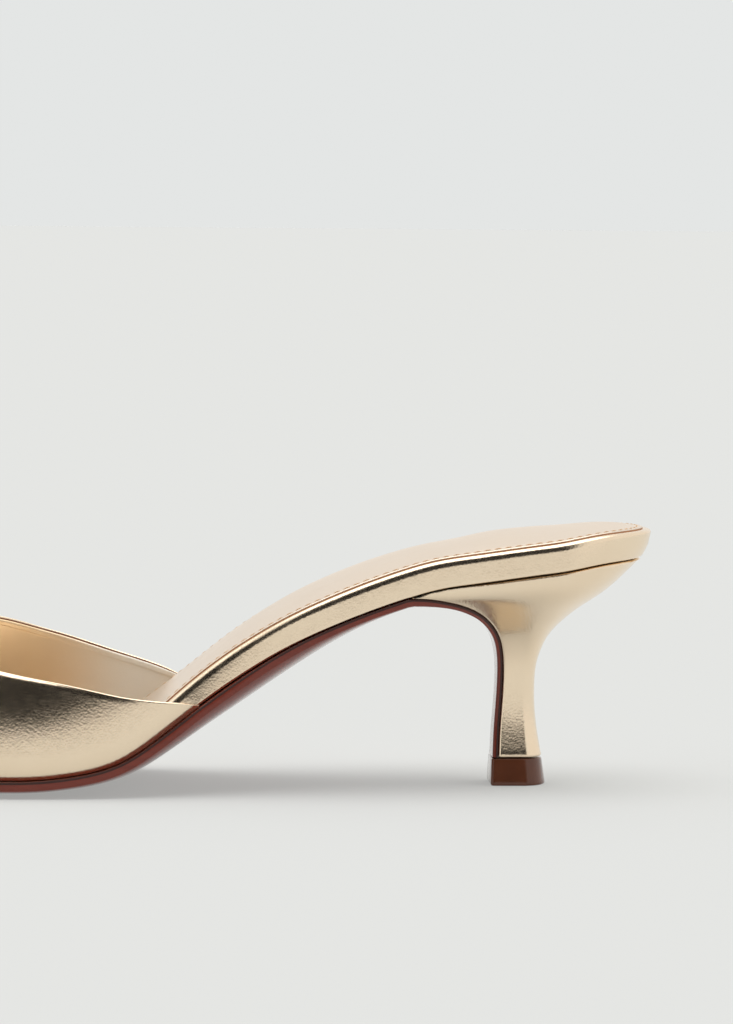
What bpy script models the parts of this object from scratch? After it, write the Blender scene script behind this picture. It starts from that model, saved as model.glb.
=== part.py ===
"""A backless sandal on a kitten heel, for the left foot.

The toe points along -X, the outer side of the foot faces -Y and the floor is z = 0. The origin is the
middle of the top piece's floor face. Every form is read from the last: an outline, a feather line that
runs from the tread up to the heel seat, and a height over it. Distances along the shoe are measured
from the back of the footbed towards the toe.
"""
import math

import bmesh
import bpy
from mathutils import Vector

# Driving sizes of the last, in metres
LENGTH = 0.248
BALL_WIDTH = 0.078
HEEL_LIFT = 0.0522
INSTEP_HEIGHT = 0.060
HEEL_ROUND = 0.027
TOE_ROUND = 0.040
SPINE_START = 0.150
SPINE_END = 0.187

# Sole, footbed and their covers
OUTSOLE_EDGE = 0.0024
TREAD_ROUND = 0.0018
WAIST_ROUND = 0.0035
FLAP_THICKNESS = 0.0014
FOOTBED_SEAT_HEIGHT = 0.0070
FOOTBED_HEIGHT = 0.0062
FOOTBED_TOE_HEIGHT = 0.0038
THIN_BEFORE = 0.06
THIN_AFTER = 0.12
FOOTBED_CORNER = 0.0016
HEEL_UNDERCUT = 0.0024
SOCK_EDGE = 0.0008
SOCK_ROUND_OFF = 0.0004
SOCK_CROWN = 0.0030
SOCK_INSET = 0.0020
CLEARANCE = 0.0003

# Upper
UPPER_WALL = 0.0019
UPPER_SET_IN = 0.0004
FOLD_HEIGHT = 0.0007
WING_TUCK = 0.034
WING_END = 0.460
WING_EDGE = 0.010

# Heel and top piece
SEAT_LENGTH = 0.0622
SEAT_BACK = 0.0027
SEAT_SIDE = 0.0003
TIP_BACK = 0.0271
TIP_DEPTH = 0.0113
TIP_WIDTH = 0.0128
HEEL_CORNER = 0.0008
TOP_PIECE_HEIGHT = 0.0068
TOP_PIECE_FLARE = 0.0010
TOP_PIECE_FRONT_FLARE = 0.0002
TOP_PIECE_CORNER = 0.0006

# How fine the faces are
EDGE_STEP = 0.0058
HEEL_STEPS = 7
TOE_STEPS = 9
WALL_STEPS = 8
STEM_STEPS = 2
UNDER_COLUMNS = (1.0, 0.9, 0.75, 0.5, 0.0, -0.5, -0.75, -0.9, -1.0)
SOCK_COLUMNS = (0.93, 0.8, 0.6, 0.35, 0.0)
FLAT_HALF = 0.5
TURN_STEP = 0.002
TURN_MARGIN = 0.01
MERGE = 1e-6
SHARP_ANGLE = math.radians(35)

# How tables are read: samples over a whole table, and the share either side that each is averaged over
SAMPLES = 500
BLEND = 0.03

LATERAL = -1
MEDIAL = 1

# Outline: half width and middle line as shares of the ball width, by share of the length
OUTLINE = (
    ("share", "half", "middle"),
    (0.00, 0.327, 0.000),
    (0.11, 0.327, 0.000),
    (0.18, 0.329, -0.004),
    (0.28, 0.330, -0.019),
    (0.38, 0.344, -0.028),
    (0.46, 0.394, -0.035),
    (0.54, 0.455, -0.032),
    (0.61, 0.493, -0.015),
    (0.66, 0.500, -0.006),
    (0.74, 0.468, 0.006),
    (0.83, 0.405, 0.020),
    (0.90, 0.350, 0.030),
    (1.00, 0.275, 0.038),
)

# Feather line: height over the tread as a share of the heel lift
FEATHER = (
    ("share", "height"),
    (0.000, 1.000),
    (0.045, 1.000),
    (0.100, 0.968),
    (0.180, 0.916),
    (0.215, 0.894),
    (0.252, 0.846),
    (0.310, 0.747),
    (0.360, 0.642),
    (0.410, 0.503),
    (0.460, 0.341),
    (0.500, 0.195),
    (0.540, 0.074),
    (0.580, 0.025),
    (0.635, 0.000),
    (0.718, 0.000),
    (0.850, 0.021),
    (1.000, 0.090),
)

# Underside: how much of the tread's and of the waist's rounding shows, and where the edge thins
UNDERSIDE = (
    ("share", "tread", "waist", "edge"),
    (0.240, 0.0, 0.00, 0.62),
    (0.262, 0.0, 0.10, 1.00),
    (0.330, 0.0, 0.60, 1.00),
    (0.375, 0.0, 0.90, 1.00),
    (0.430, 0.0, 1.00, 1.00),
    (0.510, 0.3, 0.55, 1.00),
    (0.570, 0.8, 0.12, 1.00),
    (0.635, 1.0, 0.00, 1.00),
    (0.718, 1.0, 0.00, 1.00),
    (0.900, 1.0, 0.00, 1.00),
    (1.000, 0.8, 0.00, 1.00),
)

# Last over the feather line: height as a share of the instep height, and how square its wall stands
LAST = (
    ("share", "height", "square"),
    (0.42, 1.000, 2.60),
    (0.50, 0.960, 2.55),
    (0.60, 0.870, 2.45),
    (0.67, 0.795, 2.35),
    (0.75, 0.665, 2.20),
    (0.88, 0.640, 1.95),
    (1.00, 0.640, 1.75),
)

# Topline: height of the upper's edge as a share of the last's height, by where its strip starts
TOPLINE = (
    ("share", "lateral", "medial"),
    (0.430, -0.105, -0.125),
    (0.460, 0.004, 0.004),
    (0.480, 0.076, 0.126),
    (0.500, 0.148, 0.230),
    (0.530, 0.260, 0.360),
    (0.561, 0.352, 0.464),
    (0.605, 0.450, 0.579),
    (0.664, 0.550, 0.699),
    (0.726, 0.670, 0.787),
    (0.806, 0.800, 0.855),
    (0.887, 0.890, 0.905),
    (1.000, 0.940, 0.940),
)

# Sock: how much of its crown it has, full on the heel pad and flat where the vamp wraps it
CROWN = (
    ("share", "crown"),
    (0.000, 0.400),
    (0.054, 0.540),
    (0.115, 0.880),
    (0.155, 1.000),
    (0.205, 0.640),
    (0.330, 0.660),
    (0.380, 0.400),
    (0.430, 0.100),
    (0.480, 0.000),
    (1.000, 0.000),
)

# Heel: how far its front and back have run from the tip to the seat, how high each stands between the
# tip and the feather line, and how far its sides have spread from the tip to the seat
HEEL = (
    ("row", "front", "front_rise", "back", "back_rise", "spread"),
    (0.00, 0.000, 0.000, 0.000, 0.000, 0.000),
    (0.10, -0.009, 0.142, -0.050, 0.138, -0.042),
    (0.20, -0.034, 0.307, -0.082, 0.300, -0.070),
    (0.30, -0.048, 0.472, -0.076, 0.462, -0.062),
    (0.39, -0.034, 0.580, -0.022, 0.561, 0.012),
    (0.48, 0.012, 0.672, 0.055, 0.645, 0.150),
    (0.57, 0.105, 0.750, 0.198, 0.714, 0.350),
    (0.66, 0.242, 0.825, 0.378, 0.776, 0.575),
    (0.75, 0.442, 0.885, 0.576, 0.823, 0.766),
    (0.85, 0.653, 0.931, 0.771, 0.895, 0.915),
    (0.94, 0.823, 0.969, 0.897, 0.954, 0.980),
    (1.00, 1.000, 0.996, 1.000, 1.000, 1.000),
)

TREAD_TOP = OUTSOLE_EDGE + TREAD_ROUND
TIP_FRONT = TIP_BACK + TIP_DEPTH
TIP_TOP = TOP_PIECE_HEIGHT + CLEARANCE
TOP_PIECE_FRONT = TIP_FRONT + CLEARANCE + FLAP_THICKNESS
ORIGIN_ALONG = (TIP_BACK - TOP_PIECE_FLARE + TOP_PIECE_FRONT + TOP_PIECE_FRONT_FLARE) / 2


def curve(table, column, at):
    """Reads one column of a table on a curve through its rows that never overshoots them."""
    place = table[0].index(column)
    shares = [row[0] for row in table[1:]]
    values = [row[place] for row in table[1:]]
    if at <= shares[0]:
        return values[0]
    if at >= shares[-1]:
        return values[-1]
    rises = []
    for k in range(len(shares) - 1):
        rises.append((values[k + 1] - values[k]) / (shares[k + 1] - shares[k]))
    slopes = [rises[0]]
    for before, after in zip(rises, rises[1:]):
        level = before * after <= 0
        slopes.append(0.0 if level else 2 * before * after / (before + after))
    slopes.append(rises[-1])
    k = max(i for i in range(len(rises)) if shares[i] <= at)
    width = shares[k + 1] - shares[k]
    t = (at - shares[k]) / width
    start = (1 + 2 * t) * (1 - t) ** 2 * values[k] + t * (1 - t) ** 2 * width * slopes[k]
    end = t * t * (3 - 2 * t) * values[k + 1] + t * t * (t - 1) * width * slopes[k + 1]
    return start + end


def blended(table, column):
    """A reader of one column that rounds its curve a little, so that no row shows as a kink."""
    exact = [curve(table, column, k / SAMPLES) for k in range(SAMPLES + 1)]
    spread = round(BLEND * SAMPLES)
    weights = [1 + math.cos(math.pi * j / (spread + 1)) for j in range(-spread, spread + 1)]
    before = [2 * exact[0] - exact[k] for k in range(spread, 0, -1)]
    beyond = [2 * exact[-1] - exact[-1 - k] for k in range(1, spread + 1)]
    longer = before + exact + beyond
    rounded = []
    for k in range(SAMPLES + 1):
        near = longer[k:k + 2 * spread + 1]
        rounded.append(sum(weight * value for weight, value in zip(weights, near)) / sum(weights))

    def read(share):
        spot = min(max(share, 0.0), 1.0) * SAMPLES
        k = min(int(spot), SAMPLES - 1)
        return rounded[k] + (rounded[k + 1] - rounded[k]) * (spot - k)

    return read


half_width = blended(OUTLINE, "half")
middle_line = blended(OUTLINE, "middle")
feather_share = blended(FEATHER, "height")
tread_share = blended(UNDERSIDE, "tread")
waist_share = blended(UNDERSIDE, "waist")
edge_share = blended(UNDERSIDE, "edge")
ridge_share = blended(LAST, "height")
wall_square = blended(LAST, "square")
topline = {LATERAL: blended(TOPLINE, "lateral"), MEDIAL: blended(TOPLINE, "medial")}
crown_share = blended(CROWN, "crown")


def ease(low, high, at):
    """Rises smoothly from 0 at low to 1 at high."""
    t = min(max((at - low) / (high - low), 0.0), 1.0)
    return t * t * (3 - 2 * t)


def feather(along):
    """Height of the feather line, where the sole and the heel meet what stands on them."""
    return TREAD_TOP + HEEL_LIFT * feather_share(along / LENGTH)


def feather_up(along):
    """Unit vector square to the feather line, as (along, up)."""
    step = LENGTH / SAMPLES
    rise = (feather(along + step) - feather(along - step)) / (2 * step)
    size = math.hypot(rise, 1.0)
    return -rise / size, 1.0 / size


def reach(turn):
    """Distance along the shoe of a turn round the outline: 0 to 1 heel, 1 to 2 sides, 2 to 3 toe."""
    if turn < 1:
        return HEEL_ROUND * (1 - math.cos(turn * math.pi / 2))
    if turn > 2:
        return LENGTH - TOE_ROUND * (1 - math.sin((turn - 2) * math.pi / 2))
    return HEEL_ROUND + (turn - 1) * (LENGTH - HEEL_ROUND - TOE_ROUND)


def turn_at(along):
    """The turn of a place on the sides."""
    return 1 + (along - HEEL_ROUND) / (LENGTH - HEEL_ROUND - TOE_ROUND)


def roundness(turn):
    """How full the outline is: 0 at the heel's back and the toe's tip, 1 along the sides."""
    if turn < 1:
        return math.sin(turn * math.pi / 2)
    if turn > 2:
        return math.cos((turn - 2) * math.pi / 2)
    return 1.0


def middle(along):
    """Sideways place of the shoe's middle line."""
    return BALL_WIDTH * middle_line(along / LENGTH)


def outline(turn, side):
    """A point of the outline, as (along, sideways)."""
    along = reach(turn)
    half = BALL_WIDTH * half_width(along / LENGTH) * roundness(turn)
    return along, middle(along) + side * half


def inset(turn, side, distance):
    """A point of the outline moved inwards, square to the outline."""
    ahead = outline(min(turn + TURN_STEP, 3.0), side)
    behind = outline(max(turn - TURN_STEP, 0.0), side)
    run = ahead[0] - behind[0]
    drift = ahead[1] - behind[1]
    if turn <= 0 or turn >= 3:
        run = 0.0
    size = math.hypot(run, drift)
    along, across = outline(turn, side)
    return along + side * drift / size * distance, across - side * run / size * distance


def place(along, across, height):
    """A point of the shoe in the part's frame."""
    return Vector((ORIGIN_ALONG - along, across, height))


def turns(first, last):
    """Turns round half the outline, closer at the round ends."""
    side_steps = max(2, round((LENGTH - HEEL_ROUND - TOE_ROUND) / EDGE_STEP))
    every = [k / HEEL_STEPS for k in range(HEEL_STEPS)]
    every += [1 + k / side_steps for k in range(side_steps)]
    every += [2 + k / TOE_STEPS for k in range(TOE_STEPS + 1)]
    inner = [turn for turn in every if first + TURN_MARGIN < turn < last - TURN_MARGIN]
    return [first] + inner + [last]


def spine(along):
    """The place on the last's ridge that a strip of the upper heads for."""
    if along <= SPINE_START:
        return along
    power = (LENGTH - SPINE_START) / (SPINE_END - SPINE_START)
    left = (LENGTH - along) / (LENGTH - SPINE_START)
    return SPINE_START + (SPINE_END - SPINE_START) * (1 - left ** power)


def last_height(along):
    """Height of the last's ridge over the feather line, for the strip that starts here."""
    return INSTEP_HEIGHT * ridge_share(spine(along) / LENGTH)


def lean(turn, side, height):
    """How far the last's wall has come in from the outline at a height over the feather line."""
    along, across = outline(turn, side)
    square = wall_square(along / LENGTH)
    share = min(height / last_height(along), 1.0)
    ridge = spine(along)
    span = math.hypot(ridge - along, middle(ridge) - across)
    return span * (1 - (1 - share ** square) ** (1 / square))


def wing_tuck(turn):
    """How far the upper wraps the footbed: 0 behind the wings, 1 from their ends on."""
    end = WING_END * LENGTH
    return ease(end - WING_TUCK, end - CLEARANCE, reach(turn))


def footbed_inset(turn, side, height):
    """Where the footbed's edge lies: flush with the sole behind, inside the upper's wall in front."""
    wrapped = UPPER_SET_IN + UPPER_WALL + 2 * CLEARANCE
    if wing_tuck(turn) > 0:
        wrapped += lean(turn, side, height)
    return wrapped * wing_tuck(turn)


def undercut(turn, share):
    """How far the footbed's side is drawn in under the heel's back, by share of its height."""
    if turn > 1:
        return 0.0
    return HEEL_UNDERCUT * math.cos(turn * math.pi / 2) ** 2 * (1 - share) ** 2


def footbed_height(along):
    """Height of the footbed over the feather line: thicker at the seat, thinner under the toes."""
    behind = 1 - ease(SEAT_LENGTH / 2, 2 * SEAT_LENGTH, along)
    front = ease((WING_END - THIN_BEFORE) * LENGTH, (WING_END + THIN_AFTER) * LENGTH, along)
    height = FOOTBED_HEIGHT + (FOOTBED_SEAT_HEIGHT - FOOTBED_HEIGHT) * behind
    return height + (FOOTBED_TOE_HEIGHT - FOOTBED_HEIGHT) * front


def over_feather(along, across, height):
    """A point that stands square to the feather line at a height over it."""
    forward, up = feather_up(along)
    return place(along + forward * height, across, feather(along) + up * height)


def full_outline(levels, distance):
    """Rings round the whole outline, one for each level; distance gives each point's inset."""
    around = turns(0.0, 3.0)
    rings = []
    for level in levels:
        ring = []
        for side, order in ((LATERAL, around), (MEDIAL, around[-2:0:-1])):
            for turn in order:
                along, across = inset(turn, side, distance(turn, side, level))
                ring.append((along, across, turn))
        rings.append(ring)
    return rings


def finish(name, mesh, material):
    """Makes a named object of a mesh, shaded smooth except at its sharp edges."""
    bmesh.ops.remove_doubles(mesh, verts=mesh.verts, dist=MERGE)
    bmesh.ops.recalc_face_normals(mesh, faces=mesh.faces)
    data = bpy.data.meshes.new(name)
    mesh.to_mesh(data)
    mesh.free()
    data.materials.append(material)
    data.shade_smooth()
    data.set_sharp_from_angle(angle=SHARP_ANGLE)
    piece = bpy.data.objects.new(name, data)
    bpy.context.collection.objects.link(piece)
    return piece


def stack(name, rings, material, first="across", last="across"):
    """Joins rings of equal count into one closed body. An end is closed across, from each point to its
    partner over the middle line, or whole, as one face, or not where the ring has shrunk to a line."""
    mesh = bmesh.new()
    rows = [[mesh.verts.new(point) for point in ring] for ring in rings]
    count = len(rings[0])
    for lower, upper in zip(rows, rows[1:]):
        for k in range(count):
            after = (k + 1) % count
            mesh.faces.new((lower[k], lower[after], upper[after], upper[k]))
    for row, closing in ((rows[0], first), (rows[-1], last)):
        if closing == "whole":
            mesh.faces.new(row)
        if closing == "across":
            for k in range(count // 2):
                partners = (row[k], row[k + 1], row[count - k - 1], row[(count - k) % count])
                mesh.faces.new(list(dict.fromkeys(partners)))
    return finish(name, mesh, material)


def leather(name, colour, metallic, roughness):
    """A plain material with one colour."""
    material = bpy.data.materials.new(name)
    material.use_nodes = True
    shader = material.node_tree.nodes["Principled BSDF"]
    shader.inputs["Base Color"].default_value = (*colour, 1.0)
    shader.inputs["Metallic"].default_value = metallic
    shader.inputs["Roughness"].default_value = roughness
    return material


def heel_section(row):
    """Front place, back place and half width of the heel at a row of its table."""
    seat_half = outline(turn_at(SEAT_LENGTH), MEDIAL)[1] - middle(SEAT_LENGTH) - SEAT_SIDE
    front = TIP_FRONT + (SEAT_LENGTH - TIP_FRONT) * curve(HEEL, "front", row)
    back = TIP_BACK - (TIP_BACK - SEAT_BACK) * curve(HEEL, "back", row)
    front_height = TIP_TOP + (feather(front) - TIP_TOP) * curve(HEEL, "front_rise", row)
    back_height = TIP_TOP + (feather(back) - TIP_TOP) * curve(HEEL, "back_rise", row)
    half = TIP_WIDTH / 2 + (seat_half - TIP_WIDTH / 2) * curve(HEEL, "spread", row)
    return (front, front_height), (back, back_height), half


def heel_rows():
    """Rows of the heel from the tip to the seat, closer where it spreads."""
    table_rows = [row[0] for row in HEEL[1:]]
    rows = []
    for low, high in zip(table_rows, table_rows[1:]):
        rows += [low + (high - low) * k / STEM_STEPS for k in range(STEM_STEPS)]
    return rows + [table_rows[-1]]


def heel_ring(front, back, half, corner):
    """A ring with a round back and a flat front, as (share from back to front, sideways)."""
    bend = HEEL_ROUND / SEAT_LENGTH
    depth = math.hypot(front[0] - back[0], front[1] - back[1])
    sides = [(0.0, 0.0)]
    for k in range(1, HEEL_STEPS + 1):
        angle = k / HEEL_STEPS * math.pi / 2
        sides.append((bend * (1 - math.cos(angle)), half * math.sin(angle)))
    sides.append((1 - corner / depth, half))
    sides.append((1.0, half - corner))
    ring = [(share, LATERAL * across) for share, across in sides]
    ring += [(share, MEDIAL * across) for share, across in sides[:0:-1]]
    return ring


def make_heel(material):
    """The covered heel block, hollow-backed, from its narrow tip to the seat."""
    rings = []
    rows = heel_rows()
    for row in rows:
        front, back, half = heel_section(row)
        ring = []
        for share, across in heel_ring(front, back, half, HEEL_CORNER):
            along = back[0] + (front[0] - back[0]) * share
            height = back[1] + (front[1] - back[1]) * share
            height = min(height, feather(along) - CLEARANCE * (1 - share))
            ring.append(place(along, middle(along) + across, height))
        rings.append(ring)
    seat = []
    for share, across in heel_ring(front, back, half, HEEL_CORNER):
        along = back[0] + (front[0] - back[0]) * share
        seat.append(place(along, middle(along) + across, feather(along)))
    return stack("heel", rings + [seat], material)


def make_top_piece(material):
    """The hard top piece that the heel walks on, wider at the floor."""
    levels = (
        (0.0, 1.0, TOP_PIECE_CORNER),
        (TOP_PIECE_CORNER, 1.0, 0.0),
        (TOP_PIECE_HEIGHT / 2, 0.5, 0.0),
        (TOP_PIECE_HEIGHT, 0.0, 0.0),
    )
    rings = []
    for height, flare, corner in levels:
        front = (TOP_PIECE_FRONT + TOP_PIECE_FRONT_FLARE * flare - corner, height)
        back = (TIP_BACK - TOP_PIECE_FLARE * flare + corner, height)
        half = TIP_WIDTH / 2 + TOP_PIECE_FLARE * flare - corner
        ring = []
        for share, across in heel_ring(front, back, half, HEEL_CORNER):
            ring.append(place(back[0] + (front[0] - back[0]) * share, across, height))
        rings.append(ring)
    return stack("top_piece", rings, material)


def under_shape(column):
    """Fullness of the underside across the sole: flat in the middle, round to its edges."""
    outer = max(abs(column) - FLAT_HALF, 0.0) / (1 - FLAT_HALF)
    return 1 - outer ** 2


def sole_row(centre, normal, half, edge, belly):
    """One closed row of the outsole: its top edge to edge, then its rounded underside."""
    along, across, height = centre
    row = [place(along, across - half, height), place(along, across + half, height)]
    for column in UNDER_COLUMNS:
        depth = edge + belly * under_shape(column)
        row.append(place(along - normal[0] * depth, across + half * column, height - normal[1] * depth))
    return row


def flap_station(row):
    """Where the flap stands at a row of the heel: along, height, half width, thickness and rounding."""
    (along, height), _, half = heel_section(row)
    return along, height, half - SEAT_SIDE, FLAP_THICKNESS, 0.0


def body_station(turn):
    """The same for the outsole's body, under the footbed and the upper."""
    along = reach(turn)
    share = along / LENGTH
    half = outline(turn, MEDIAL)[1] - middle(along)
    belly = TREAD_ROUND * tread_share(share) + WAIST_ROUND * waist_share(share)
    return along, feather(along), half, OUTSOLE_EDGE * edge_share(share), belly


def make_outsole(material):
    """The thin outsole, from the toe to the heel and down its front as a flap."""
    stations = [flap_station(row) for row in heel_rows()[:-1]]
    flap_count = len(stations)
    stations += [body_station(turn) for turn in turns(turn_at(SEAT_LENGTH + 2 * CLEARANCE), 3.0)]
    rings = []
    for k, (along, height, half, edge, belly) in enumerate(stations):
        before = stations[max(k - 1, 0)]
        after = stations[min(k + 1, len(stations) - 1)]
        run = after[0] - before[0]
        rise = after[1] - before[1]
        size = math.hypot(run, rise)
        normal = (-rise / size, run / size)
        off = CLEARANCE if k < flap_count else 0.0
        centre = (along - normal[0] * off, middle(along), height - normal[1] * off)
        rings.append(sole_row(centre, normal, half, edge, belly))
    return stack("outsole", rings, material, first="whole", last="none")


def make_footbed(material):
    """The covered footbed board, its top and bottom corners rounded and its back drawn in below."""
    corner = FOOTBED_CORNER
    turned = corner * (1 - math.sqrt(0.5))
    levels = (
        (0.0, 0.0, turned),
        (0.0, turned, 0.0),
        (0.4, 0.0, 0.0),
        (1.0, -corner, 0.0),
        (1.0, -turned, turned),
        (1.0, 0.0, corner),
    )

    def height_of(turn, level):
        full = footbed_height(reach(turn))
        share, rise, _ = levels[level]
        return share * full + rise

    def distance(turn, side, level):
        full = footbed_height(reach(turn))
        drawn_in = undercut(turn, height_of(turn, level) / full)
        return footbed_inset(turn, side, full) + drawn_in + levels[level][2]

    rings = []
    for level, flat in enumerate(full_outline(range(len(levels)), distance)):
        ring = []
        for along, across, turn in flat:
            ring.append(over_feather(along, across, CLEARANCE + height_of(turn, level)))
        rings.append(ring)
    return stack("insole", rings, material)


def make_sock(material):
    """The padded insole cover, crowned across, cut a little inside the footbed's edge."""
    levels = ((0.0, 0.0), (SOCK_EDGE - SOCK_ROUND_OFF, 0.0), (SOCK_EDGE, SOCK_ROUND_OFF))

    def distance(turn, side, level):
        top = footbed_height(reach(turn)) + SOCK_EDGE + CLEARANCE
        return footbed_inset(turn, side, top) + SOCK_INSET + levels[level][1]

    flats = full_outline(range(len(levels)), distance)
    rings = []
    for flat, (rise, _) in zip(flats, levels):
        ring = []
        for along, across, turn in flat:
            ring.append(over_feather(along, across, 2 * CLEARANCE + footbed_height(reach(turn)) + rise))
        rings.append(ring)
    shoulder = flats[-1]
    count = len(shoulder)
    for share in SOCK_COLUMNS:
        ring = []
        for k, (along, across, turn) in enumerate(shoulder):
            partner = shoulder[(count - k) % count]
            here = (partner[0] + (along - partner[0]) * (1 + share) / 2,
                    partner[1] + (across - partner[1]) * (1 + share) / 2)
            full = SOCK_CROWN * crown_share(reach(turn) / LENGTH)
            crown = full * (1 - share ** 2) * roundness(turn)
            base = 2 * CLEARANCE + footbed_height(reach(turn))
            ring.append(over_feather(here[0], here[1], base + SOCK_EDGE + crown))
        rings.append(ring)
    return stack("sock", rings, material, last="none")


def upper_point(turn, side, angle, square):
    """A point on the outside of the upper, at an angle up its wall."""
    along, across = inset(turn, side, UPPER_SET_IN)
    ridge = spine(along)
    out = math.cos(angle) ** (2 / square)
    rise = math.sin(angle) ** (2 / square)
    here = ridge + (along - ridge) * out
    sideways = middle(ridge) + (across - middle(ridge)) * out
    lift = CLEARANCE / feather_up(here)[1]
    return place(here, sideways, feather(here) + lift + last_height(along) * rise)


def upper_strip(turn, side):
    """The outside of one strip of the upper, from the sole to the topline."""
    share = reach(turn) / LENGTH
    square = wall_square(share)
    top = min(max(topline[side](share), WING_EDGE), 1.0)
    last_angle = math.asin(top ** (square / 2))
    return [upper_point(turn, side, last_angle * k / WALL_STEPS, square) for k in range(WALL_STEPS + 1)]


def make_upper(material):
    """The upper: one hollow wall from wing to wing round the toe, open at the throat and below."""
    around = turns(turn_at(WING_END * LENGTH), 3.0)
    strips = [(turn, LATERAL) for turn in around] + [(turn, MEDIAL) for turn in around[-2::-1]]
    outside = [upper_strip(turn, side) for turn, side in strips]
    rings = []
    for k, (turn, side) in enumerate(strips):
        before = outside[max(k - 1, 0)]
        after = outside[min(k + 1, len(strips) - 1)]
        strip = outside[k]
        inside = []
        for level, point in enumerate(strip):
            below = strip[max(level - 1, 0)]
            above = strip[min(level + 1, WALL_STEPS)]
            normal = (after[level] - before[level]).cross(above - below).normalized()
            if level == 0:
                along, across = inset(turn, side, UPPER_SET_IN + UPPER_WALL)
                lift = CLEARANCE / feather_up(along)[1]
                inside.append(place(along, across, feather(along) + lift))
            else:
                inside.append(point + normal * UPPER_WALL)
        fold = (strip[-1] + inside[-1]) / 2 + (strip[-1] - strip[-2]).normalized() * FOLD_HEIGHT
        rings.append([fold] + strip[::-1] + inside)
    return stack("upper", rings, material)


def main():
    for thing in list(bpy.data.objects):
        bpy.data.objects.remove(thing)
    gold = leather("gold_leather", (0.62, 0.47, 0.31), 0.75, 0.34)
    lining = leather("sock_leather", (0.60, 0.44, 0.27), 0.45, 0.42)
    brown = leather("outsole_leather", (0.10, 0.035, 0.022), 0.0, 0.25)
    plastic = leather("top_piece_plastic", (0.08, 0.03, 0.024), 0.0, 0.4)
    make_upper(gold)
    make_outsole(brown)
    make_footbed(gold)
    make_sock(lining)
    make_heel(gold)
    make_top_piece(plastic)


main()
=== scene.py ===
"""The looks of a gold leather sandal on a kitten heel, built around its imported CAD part.

The frame is the part's: toe along -X, outer side -Y, floor z = 0, metres. Every form is read from the
same last as the CAD part, in finer steps: an outline, a feather line and a height over it. Distances
along the shoe are measured from the back of the footbed towards the toe. A few forms stand about a
millimetre off the part's, as the photo asks: the seat's kick, the sunk inner side of the footbed, the
sock's crown, the inner topline and the swell where sole and flap meet.
"""
import math

import bmesh
import bpy
from mathutils import Matrix, Vector


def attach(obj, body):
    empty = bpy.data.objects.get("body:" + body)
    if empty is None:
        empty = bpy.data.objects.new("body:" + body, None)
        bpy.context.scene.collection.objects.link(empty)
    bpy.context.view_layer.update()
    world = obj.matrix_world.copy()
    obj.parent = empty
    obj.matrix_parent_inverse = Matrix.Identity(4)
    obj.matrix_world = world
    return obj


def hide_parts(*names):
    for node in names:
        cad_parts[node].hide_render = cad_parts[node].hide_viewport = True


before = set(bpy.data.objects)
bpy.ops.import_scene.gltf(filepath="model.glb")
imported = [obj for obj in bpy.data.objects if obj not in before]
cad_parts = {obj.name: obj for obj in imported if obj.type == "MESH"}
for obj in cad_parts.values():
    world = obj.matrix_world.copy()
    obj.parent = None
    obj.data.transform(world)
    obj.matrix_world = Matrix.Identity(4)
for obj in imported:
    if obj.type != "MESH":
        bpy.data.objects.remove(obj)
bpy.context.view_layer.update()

# Driving sizes of the last, in metres
LENGTH = 0.248
BALL_WIDTH = 0.078
HEEL_LIFT = 0.0522
INSTEP_HEIGHT = 0.060
HEEL_ROUND = 0.027
TOE_ROUND = 0.040
SPINE_START = 0.150
SPINE_END = 0.187

# Sole, footbed and their covers
OUTSOLE_EDGE = 0.0024
TREAD_ROUND = 0.0018
WAIST_ROUND = 0.0035
SOLE_CORNER = 0.0007
SOLE_CORNER_SHARE = 0.45
SOLE_CORNER_TURN = 60
SOLE_TOP_CORNER = 0.0003
# Depth and points of the band of painted shade along the top of the sole's edge, under the upper
SHADE_BAND_DEPTH = 0.0006
SHADE_BAND_POINTS = 6
SOLE_POINT = 0.0012
FLAT_HALF = 0.5
FLAP_THICKNESS = 0.0014
FLAP_SWELL = 0.0005
FLAP_BELLY = 0.0007
SWELL_START = 0.75
FLAP_GLUE = 0.00005
FOOTBED_SEAT_HEIGHT = 0.0070
FOOTBED_HEIGHT = 0.0062
FOOTBED_TOE_HEIGHT = 0.0038
THIN_BEFORE = 0.06
THIN_AFTER = 0.12
FOOTBED_CORNER = 0.0013
FOOTBED_CORNER_HEIGHT = 0.0020
HEEL_UNDERCUT = 0.0024
FOOTBED_FOOT = 0.0006
FOOTBED_SIDE_SHARES = (0.15, 0.3, 0.45)
BACK_SNUG = 0.5
SINK = 0.0011
SINK_SHARE = 0.455
SINK_SPREAD = 0.05
SOCK_EDGE = 0.0005
SOCK_CROWN = 0.0034
SOCK_INSET = 0.0020
SOCK_SHOULDER = 0.00030
SOCK_GLUE = 0.0001
CROWN_SPAN = 0.33
CLEARANCE = 0.0003

# Upper: an outer leather and a lining, each folded over at the topline
UPPER_WALL = 0.0019
UPPER_SET_IN = 0.0004
OUTER_THICKNESS = 0.00098
LINING_THICKNESS = 0.00088
LINING_DROP = 0.00045
EDGE_SOFT = 0.0013
EDGE_SOFT_DEPTH = 0.00030
SOFT_START = 0.50
SOFT_FULL = 0.62
BEAD_HEIGHT = 0.0011
BEAD_STEP = 0.00028
BEAD_EDGE = 0.0004
LAYER_FADE = 4
LAYER_GAP = 0.00004
SEAM_RADIUS = 0.00017
SEAM_DROP = 0.00002
WING_TUCK = 0.034
WING_TAPER = 0.008
WING_POINT = 0.25
WING_END = 0.460
WING_EDGE = 0.004
FEATHER_CURL = 0.0013
FEATHER_CURL_HEIGHT = 0.0060

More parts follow.
